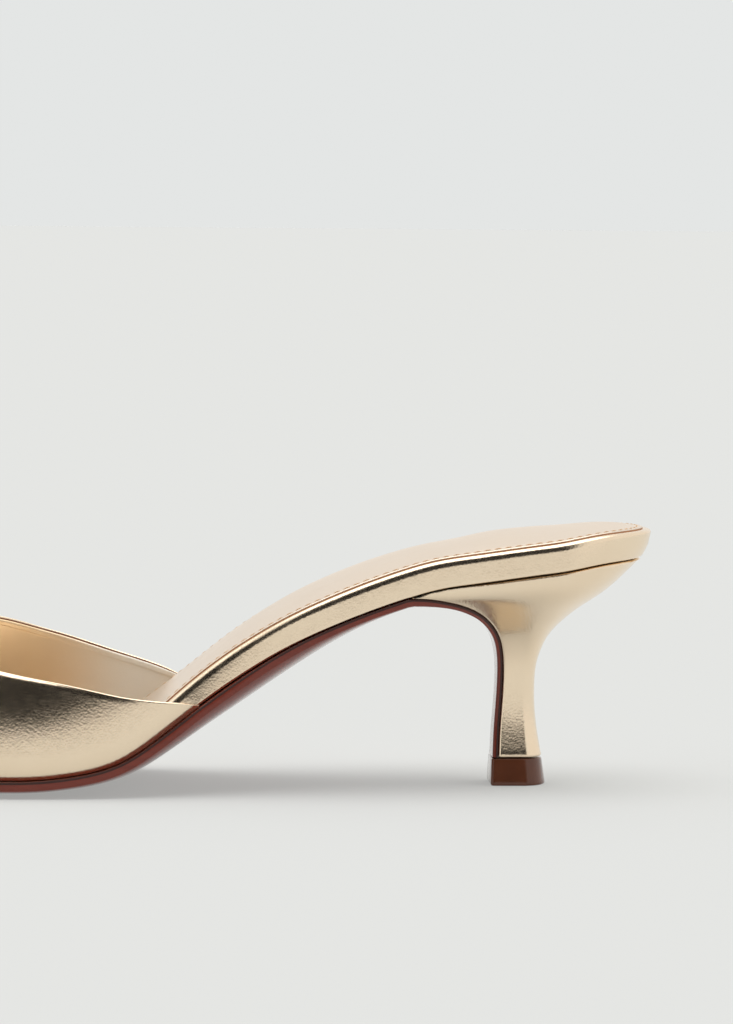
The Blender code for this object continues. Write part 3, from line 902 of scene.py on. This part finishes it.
def make_sock(top, cut_edge):
    """The padded sock: a thin cut edge, a rounded shoulder, a sewn channel and a crowned middle."""
    distances = [SOCK_SHOULDER * (1 - math.cos(a)) for a in arc(0, 90, SHOULDER_STEPS)]
    distances += [distances[-1] + SOCK_ROW * k for k in range(1, SOCK_ROWS + 1)]
    around = whole_outline()
    mesh = bmesh.new()
    edge = []
    for turn, side in around:
        along, across = inset(turn, side, sock_edge(turn, side))
        rise = CLEARANCE + footbed_height(reach(turn)) - SOCK_GLUE - sink(along, across)
        edge.append(over_feather(along, across, rise))
    rows = [[sock_point(turn, side, distance) for turn, side in around] for distance in distances]
    for share in SOCK_SHARES:
        rows.append([sock_point(turn, side, distances[-1], share) for turn, side in around])
    edge_rows = add_skin(mesh, [edge] + rows[:CUT_ROWS], material_index=1)
    close_across(mesh, edge_rows[0])
    add_skin(mesh, rows[CUT_ROWS - 1:])
    piece = new_piece("sock_pad", mesh, [top, cut_edge], "sock")


def add_stitch(mesh, start, end, up):
    """Adds one stitch: a small rounded bar that dives into the leather at both ends."""
    run = (end - start).normalized()
    across = run.cross(up).normalized()
    length = (end - start).length
    rings = []
    for k in range(STITCH_STEPS + 1):
        share = k / STITCH_STEPS
        bulge = math.sin(math.pi * mixed(STITCH_ENDS, 1 - STITCH_ENDS, share))
        centre = start + run * length * share + up * STITCH_RADIUS * (STITCH_ARCH * bulge - STITCH_DIVE)
        rings.append(tube_ring(centre, STITCH_RADIUS * mixed(STITCH_THIN, 1.0, bulge), across, up))
    add_skin(mesh, rings, ends=True)


def make_stitches(thread):
    """The row of stitches in the sock's channel, from under the vamp round the heel and back."""
    around = turns(0.0, turn_at(STITCH_FRONT * LENGTH))
    order = [(turn, LATERAL) for turn in reversed(around)] + [(turn, MEDIAL) for turn in around[1:]]
    line = [sock_point(turn, side, STITCH_INSET) for turn, side in order]
    lengths = [0.0]
    for before, after in zip(line, line[1:]):
        lengths.append(lengths[-1] + (after - before).length)

    def point_at(distance):
        k = max(i for i in range(len(line) - 1) if lengths[i] <= distance)
        return line[k].lerp(line[k + 1], (distance - lengths[k]) / (lengths[k + 1] - lengths[k]))

    mesh = bmesh.new()
    count = int(lengths[-1] / STITCH_PITCH)
    for k in range(count):
        start = point_at(k * STITCH_PITCH)
        end = point_at(k * STITCH_PITCH + STITCH_LENGTH)
        along = ORIGIN_ALONG - (start.x + end.x) / 2
        forward, up = feather_up(along)
        add_stitch(mesh, start, end, Vector((-forward, 0.0, up)))
    new_piece("sock_stitches", mesh, [thread], "sock")


def heel_section(row):
    """Front place, back place and half width of the heel at a row of its table."""
    seat_half = half_at(turn_at(SEAT_LENGTH)) - SEAT_SIDE
    front = mixed(TIP_FRONT, SEAT_LENGTH, heel_share["front"](row))
    back = mixed(TIP_BACK, SEAT_BACK, heel_share["back"](row))
    front_height = mixed(TIP_TOP, feather(front), heel_share["front_rise"](row))
    back_height = mixed(TIP_TOP, feather(back), heel_share["back_rise"](row))
    half = mixed(TIP_WIDTH / 2, seat_half, heel_share["spread"](row))
    return (front, front_height), (back, back_height), half


def heel_rows():
    """Rows of the heel from the tip to the seat, closer where it spreads."""
    table_rows = [row[0] for row in HEEL[1:]]
    rows = []
    for low, high in zip(table_rows, table_rows[1:]):
        rows += [mixed(low, high, k / STEM_STEPS) for k in range(STEM_STEPS)]
    return rows + [table_rows[-1]]


def heel_ring(depth, half, set_in):
    """A ring with a round back and a flat front, set in all round, as (distance from back, sideways)."""
    bend = HEEL_ROUND / SEAT_LENGTH * depth
    sides = []
    for angle in arc(0, 90, HEEL_STEPS):
        sides.append((bend - (bend - set_in) * math.cos(angle), (half - set_in) * math.sin(angle)))
    straight = depth - HEEL_CORNER - bend
    sides += [(bend + straight * k / SIDE_STEPS, half - set_in) for k in range(1, SIDE_STEPS)]
    radius = HEEL_CORNER - set_in
    for angle in arc(0, 90, CORNER_STEPS):
        forward = radius * math.sin(angle) - HEEL_CORNER
        sides.append((depth + forward, half - HEEL_CORNER + radius * math.cos(angle)))
    ring = [(distance, LATERAL * across) for distance, across in sides]
    ring += [(distance, MEDIAL * across) for distance, across in sides[:0:-1]]
    return ring


def heel_points(row, set_in):
    """Points round a row of the heel: along, sideways, height and how far forward, as a share."""
    front, back, half = heel_section(row)
    depth = math.hypot(front[0] - back[0], front[1] - back[1])
    points = []
    for distance, across in heel_ring(depth, half, set_in):
        share = distance / depth
        along = mixed(back[0], front[0], share)
        points.append((along, middle(along) + across, mixed(back[1], front[1], share), share))
    return points


def make_heel(material):
    """The covered heel block: a rolled edge at its tip, a narrow stem and a spreading seat."""
    rows = heel_rows()
    levels = [(rows[0], rise, set_in) for rise, set_in in rounded_edge(HEEL_LIP, CORNER_STEPS)]
    levels += [(row, 0.0, 0.0) for row in rows[1:]]
    rings = []
    for row, rise, set_in in levels:
        ring = []
        for along, across, height, share in heel_points(row, set_in):
            highest = feather(along) - CLEARANCE * (1 - share)
            ring.append(place(along, across, min(height + rise, highest)))
        rings.append(ring)
    for lower, inner in SEAT_ROLL_SHARES:
        ring = []
        for along, across, _, share in heel_points(rows[-1], SEAT_ROLL * inner):
            sunk = SEAT_ROLL * lower * (1 - ease(ROLL_FADE, 1.0, share))
            ring.append(place(along, across, feather(along) - sunk))
        rings.append(ring)
    ringed_piece("heel_cover", rings, material, "heel")


def make_top_piece(material):
    """The hard top piece that the heel walks on, wider at the floor, its edges rounded."""
    levels = rounded_edge(TOP_PIECE_CORNER, CORNER_STEPS)
    levels += [(TOP_PIECE_HEIGHT * k / TIP_SIDE_STEPS, 0.0) for k in range(1, TIP_SIDE_STEPS)]
    upper_edge = rounded_edge(TIP_EDGE, TIP_EDGE_STEPS)[::-1]
    levels += [(TOP_PIECE_HEIGHT - rise, set_in) for rise, set_in in upper_edge]
    rings = []
    for height, set_in in levels:
        flare = 1 - height / TOP_PIECE_HEIGHT
        front = TOP_PIECE_FRONT + TOP_PIECE_FRONT_FLARE * flare
        back = TIP_BACK - TOP_PIECE_FLARE * flare
        half = TIP_WIDTH / 2 + TOP_PIECE_FLARE * flare
        section = heel_ring(front - back, half, set_in)
        rings.append([place(back + distance, across, height) for distance, across in section])
    ringed_piece("heel_tip", rings, material, "top_piece")


def sole_section(half, edge, belly):
    """Half a section of the sole, as (sideways, depth), from its top edge round to its middle below."""
    corner = min(SOLE_CORNER, edge * SOLE_CORNER_SHARE)
    top_corner = rounded_edge(SOLE_TOP_CORNER, SOLE_CORNER_STEPS)
    section = [(half - set_in, depth) for depth, set_in in top_corner]
    # The foot of the band of painted shade along the top of the edge
    section.append((half, min(SHADE_BAND_DEPTH, edge - corner)))
    for angle in arc(0, SOLE_CORNER_TURN, SOLE_CORNER_STEPS):
        section.append((half - corner + corner * math.cos(angle), edge - corner + corner * math.sin(angle)))
    start = section[-1][0] / half
    for k in range(1, UNDER_STEPS + 1):
        column = start * (1 - k / UNDER_STEPS)
        outer = max(column - FLAT_HALF, 0.0) / (1 - FLAT_HALF)
        section.append((half * column, edge + belly * (1 - outer ** 2)))
    return section


def sole_row(centre, normal, half, edge, belly):
    """One closed row of the outsole, from the middle of its top round to the middle again."""
    along, across, height = centre
    row = [place(along, across, height)]
    section = sole_section(half, edge, belly)
    both = [(MEDIAL * sideways, depth) for sideways, depth in section]
    both += [(LATERAL * sideways, depth) for sideways, depth in section[-2::-1]]
    for sideways, depth in both:
        row.append(place(along - normal[0] * depth, across + sideways, height - normal[1] * depth))
    return row


def flap_station(row):
    """Where the flap stands at a row of the heel: along, height, half width, thickness and rounding."""
    (along, height), _, half = heel_section(row)
    swell = ease(SWELL_START, 1.0, row)
    return along, height, half - SEAT_SIDE, FLAP_THICKNESS + FLAP_SWELL * swell, FLAP_BELLY * swell


def body_station(turn):
    """The same for the outsole's body, under the footbed and the upper."""
    along = reach(turn)
    share = along / LENGTH
    belly = TREAD_ROUND * tread_share(share) + WAIST_ROUND * waist_share(share)
    edge = OUTSOLE_EDGE * edge_share(share)
    return along, feather(along), max(half_at(turn), SOLE_POINT), edge, belly


def make_outsole(material, painted_shade):
    """The thin leather outsole, from the toe to the heel and down its front as a flap, its edge darkened
    along the top with painted shade where it meets the upper.
    """
    stations = [flap_station(row) for row in heel_rows()[:-1]]
    flap_count = len(stations)
    stations += [body_station(turn) for turn in turns(turn_at(SEAT_LENGTH + 2 * CLEARANCE), 3.0)]
    rings = []
    for k, (along, height, half, edge, belly) in enumerate(stations):
        before = stations[max(k - NORMAL_SPAN, 0)]
        after = stations[min(k + NORMAL_SPAN, len(stations) - 1)]
        run = after[0] - before[0]
        rise = after[1] - before[1]
        size = math.hypot(run, rise)
        normal = (-rise / size, run / size)
        off = FLAP_GLUE if k < flap_count else 0.0
        centre = (along - normal[0] * off, middle(along), height - normal[1] * off)
        rings.append(sole_row(centre, normal, half, edge, belly))
    mesh = bmesh.new()
    rows = add_skin(mesh, rings, ends=True)
    # Painted shade: the top of the edge, under the upper, takes the darker material
    shade_band = {vertex for row in rows for vertex in row[1:SHADE_BAND_POINTS + 1] + row[-SHADE_BAND_POINTS:]}
    for face in mesh.faces:
        face.material_index = 1 if shade_band.issuperset(face.verts) else 0
    new_piece("sole_leather", mesh, [material, painted_shade], "outsole")


class Nodes:
    """Short calls that add nodes to one material's or world's tree and link them."""

    def __init__(self, tree):
        self.tree = tree
        self.where = None

    def give(self, socket, value):
        if isinstance(value, bpy.types.NodeSocket):
            self.tree.links.new(value, socket)
        else:
            socket.default_value = value

    def add(self, kind, inputs=None, **settings):
        node = self.tree.nodes.new(kind)
        for name, value in settings.items():
            setattr(node, name, value)
        for name, value in (inputs or {}).items():
            self.give(node.inputs[name], value)
        return node

    def shade(self, **values):
        for name, value in values.items():
            self.give(self.tree.nodes["Principled BSDF"].inputs[name.replace("_", " ")], value)

    def noise(self, scale, detail=2.0, where=None):
        inputs = {"Vector": where or self.where, "Scale": scale, "Detail": detail}
        return self.add("ShaderNodeTexNoise", inputs).outputs["Fac"]

    def between(self, value, low, high, out_low=0.0, out_high=1.0):
        inputs = {"Value": value, "From Min": low, "From Max": high, "To Min": out_low, "To Max": out_high}
        return self.add("ShaderNodeMapRange", inputs, interpolation_type="SMOOTHSTEP").outputs["Result"]

    def maths(self, operation, first, second=0.0):
        return self.add("ShaderNodeMath", {0: first, 1: second}, operation=operation).outputs[0]

    def mix(self, factor, first, second):
        node = self.add("ShaderNodeMix", data_type="RGBA")
        for name, value in (("Factor_Float", factor), ("A_Color", first), ("B_Color", second)):
            self.give(next(s for s in node.inputs if s.identifier == name), value)
        return next(s for s in node.outputs if s.identifier == "Result_Color")

    def bump(self, height, distance, normal=None):
        inputs = {"Height": height, "Distance": distance}
        if normal is not None:
            inputs["Normal"] = normal
        return self.add("ShaderNodeBump", inputs).outputs["Normal"]


def new_material(name, **values):
    """A material and its node helper, which knows the object's own coordinates in metres."""
    material = bpy.data.materials.new(name)
    material.use_nodes = True
    nodes = Nodes(material.node_tree)
    nodes.shade(**values)
    nodes.where = nodes.add("ShaderNodeTexCoord").outputs["Object"]
    return material, nodes


def rgb(displayed):
    """A scene-linear colour of a displayed one from 0 to 255."""
    shares = [value / 255 for value in displayed]
    linear = [share / 12.92 if share <= 0.04045 else ((share + 0.055) / 1.055) ** 2.4 for share in shares]
    return (*linear, 1.0)


def metallic_leather(name, pale=None):
    """Foil-finished leather: a fine pebbled grain, slight patches of tone and an uneven gloss.
    A pale colour, where given, takes over towards the wings as painted light, where more light falls on the
    lining than deep in the toe."""
    colour, worn, metallic, roughness, grain = LEATHERS[name]
    material, nodes = new_material(name, Metallic=metallic)
    patches = nodes.noise(PATCH_SCALE, 3.0)
    tone = nodes.mix(nodes.between(patches, *PATCH_RANGE), colour, worn)
    if pale is not None:
        # Painted light: the lining turns pale and matt towards the wings, keeping its deeper orange towards
        # the toe
        along = nodes.add("ShaderNodeSeparateXYZ", {"Vector": nodes.where}).outputs["X"]
        tone = nodes.mix(nodes.between(along, PAINTED_LIGHT_START, PAINTED_LIGHT_FULL), tone, pale)
        nodes.shade(Metallic=nodes.between(along, PAINTED_LIGHT_START, PAINTED_LIGHT_FULL, metallic, PAINTED_LIGHT_METALLIC))
    uneven = nodes.noise(GRAIN_SCALE / 3)
    gloss = nodes.between(uneven, *PATCH_RANGE, roughness - GLOSS_SPREAD, roughness + GLOSS_SPREAD)
    spots = {"Vector": nodes.where, "Scale": GRAIN_SCALE}
    pebbles = nodes.add("ShaderNodeTexVoronoi", spots, feature="SMOOTH_F1").outputs["Distance"]
    pebbled = nodes.bump(pebbles, grain)
    fine = nodes.bump(nodes.noise(GRAIN_SCALE * FIBRE), grain * FIBRE_HEIGHT, pebbled)
    soft = nodes.bump(nodes.noise(WAVE_SCALE, 1.0), WAVE_HEIGHT, fine)
    nodes.shade(Base_Color=tone, Roughness=gloss, Normal=soft)
    return material


def sole_leather():
    """Brown sole leather under a clear finish."""
    material, nodes = new_material("outsole_brown", Roughness=0.35, Specular_IOR_Level=0.2,
                                   Coat_Weight=1.0, Coat_IOR=1.35, Coat_Roughness=0.05)
    stretched = nodes.add("ShaderNodeMapping", {"Vector": nodes.where, "Scale": STREAK_STRETCH})
    streaks = nodes.noise(SOLE_STREAKS, 3.0, stretched.outputs["Vector"])
    tone = nodes.mix(streaks, *map(rgb, SOLE_TONES))
    grain = nodes.bump(nodes.noise(SOLE_GRAIN, 3.0), SOLE_GRAIN_HEIGHT)
    nodes.shade(Base_Color=tone, Normal=grain)
    return material


def tip_plastic():
    """Brown moulded plastic of the top piece, satin with a fine cut grain."""
    material, nodes = new_material("tip_brown", Specular_IOR_Level=0.2, Coat_Weight=1.0,
                                   Coat_IOR=1.35, Coat_Roughness=0.08)
    tone = nodes.mix(nodes.noise(TIP_SPOTS), *map(rgb, TIP_TONES))
    gloss = nodes.between(nodes.noise(TIP_GLOSS_SPOTS), *TIP_GLOSS_RANGE, *TIP_GLOSS)
    grain = nodes.bump(nodes.noise(TIP_GRAIN), TIP_GRAIN_HEIGHT)
    nodes.shade(Base_Color=tone, Roughness=gloss, Normal=grain)
    return material


def plain_fibre(name):
    """Thread, raw edges, the inked topline seam and the painted shade along the sole's top edge: matt, with
    a fine fibrous tone.
    """
    dark, light, scale = FIBRES[name]
    material, nodes = new_material(name, Roughness=0.6)
    tone = nodes.mix(nodes.noise(scale), rgb(dark), rgb(light))
    grain = nodes.bump(nodes.noise(scale * FIBRE_FINER), FIBRE_GRAIN_HEIGHT)
    nodes.shade(Base_Color=tone, Normal=grain)
    return material


def make_studio():
    """Soft light from all round, brightest overhead, with the dim side of the room at the shoe's side."""
    world = bpy.data.worlds.new("studio")
    bpy.context.scene.world = world
    world.use_nodes = True
    world.node_tree.nodes.clear()
    nodes = Nodes(world.node_tree)
    direction = nodes.add("ShaderNodeTexCoord").outputs["Generated"]
    parts = nodes.add("ShaderNodeSeparateXYZ", {"Vector": direction}).outputs

    def by_height(low, high, *out):
        return nodes.between(parts["Z"], math.sin(math.radians(low)), math.sin(math.radians(high)), *out)

    squares = [nodes.maths("MULTIPLY", parts[axis], parts[axis]) for axis in "XY"]
    flat = nodes.maths("MAXIMUM", nodes.maths("SQRT", nodes.maths("ADD", *squares)), TINY)
    facing = nodes.maths("DIVIDE", nodes.maths("MULTIPLY", parts["Y"], -1.0), flat)
    sideways = nodes.between(facing, math.cos(math.radians(DIM_OUTER)), math.cos(math.radians(DIM_INNER)))
    above = by_height(DIM_LOW, DIM_LOW_FULL)
    below = by_height(DIM_HIGH_FULL, DIM_HIGH, 1.0, 0.0)
    dim = nodes.maths("MULTIPLY", sideways, nodes.maths("MULTIPLY", above, below))
    overhead = by_height(TOP_START, TOP_FULL, SIDE_LIGHT, TOP_LIGHT)
    strength = nodes.maths("MULTIPLY", overhead, nodes.between(dim, 0.0, 1.0, 1.0, DIM_SHARE))
    studio = nodes.add("ShaderNodeBackground", {"Color": rgb(LIGHT_COLOUR), "Strength": strength})
    backdrop = nodes.add("ShaderNodeBackground", {"Color": BACKDROP, "Strength": 1.0})
    seen = nodes.add("ShaderNodeLightPath").outputs["Is Camera Ray"]
    both = nodes.add("ShaderNodeMixShader", {0: seen, 1: studio.outputs[0], 2: backdrop.outputs[0]})
    nodes.add("ShaderNodeOutputWorld", {"Surface": both.outputs[0]})


def make_floor():
    """A plain pale floor, wide enough to run out to the horizon."""
    mesh = bmesh.new()
    bmesh.ops.create_circle(mesh, cap_ends=True, radius=FLOOR_RADIUS, segments=FLOOR_SIDES)
    material, _ = new_material("pale_floor", Roughness=1.0, Specular_IOR_Level=0.0,
                               Base_Color=FLOOR_COLOUR, Emission_Color=FLOOR_GLOW, Emission_Strength=1.0)
    floor = mesh_object("floor", mesh, [material])


def make_camera():
    """The photo's view: a long lens a little above the shoe, turned slightly and rolled a little."""
    data = bpy.data.cameras.new("camera")
    data.sensor_width = SENSOR
    data.lens = SENSOR * FOCAL_PIXELS / IMAGE_HEIGHT
    data.clip_start = CLIP_NEAR
    data.clip_end = CLIP_FAR
    camera = bpy.data.objects.new("camera", data)
    turned = Matrix.Rotation(math.radians(-CAMERA_TURN), 4, "Z")
    raised = Matrix.Rotation(math.radians(90 - CAMERA_RISE), 4, "X")
    rolled = Matrix.Rotation(math.radians(CAMERA_ROLL), 4, "Z")
    back = Matrix.Translation((0.0, 0.0, CAMERA_DISTANCE))
    camera.matrix_world = Matrix.Translation(CAMERA_AIM) @ turned @ raised @ rolled @ back
    bpy.context.collection.objects.link(camera)
    bpy.context.scene.camera = camera


def main():
    gold = metallic_leather("gold_leather")
    make_upper(gold, metallic_leather("gold_lining", LINING_PAINTED_LIGHT), plain_fibre("topline_ink"))
    make_rand(gold)
    make_sock(metallic_leather("sock_gold"), plain_fibre("cut_edge"))
    make_stitches(plain_fibre("tan_thread"))
    make_outsole(sole_leather(), plain_fibre("sole_edge_painted_shade"))
    make_heel(gold)
    make_top_piece(tip_plastic())
    make_floor()
    make_studio()
    make_camera()
    bpy.context.scene.view_settings.view_transform = "Standard"
    bpy.context.view_layer.update()


main()
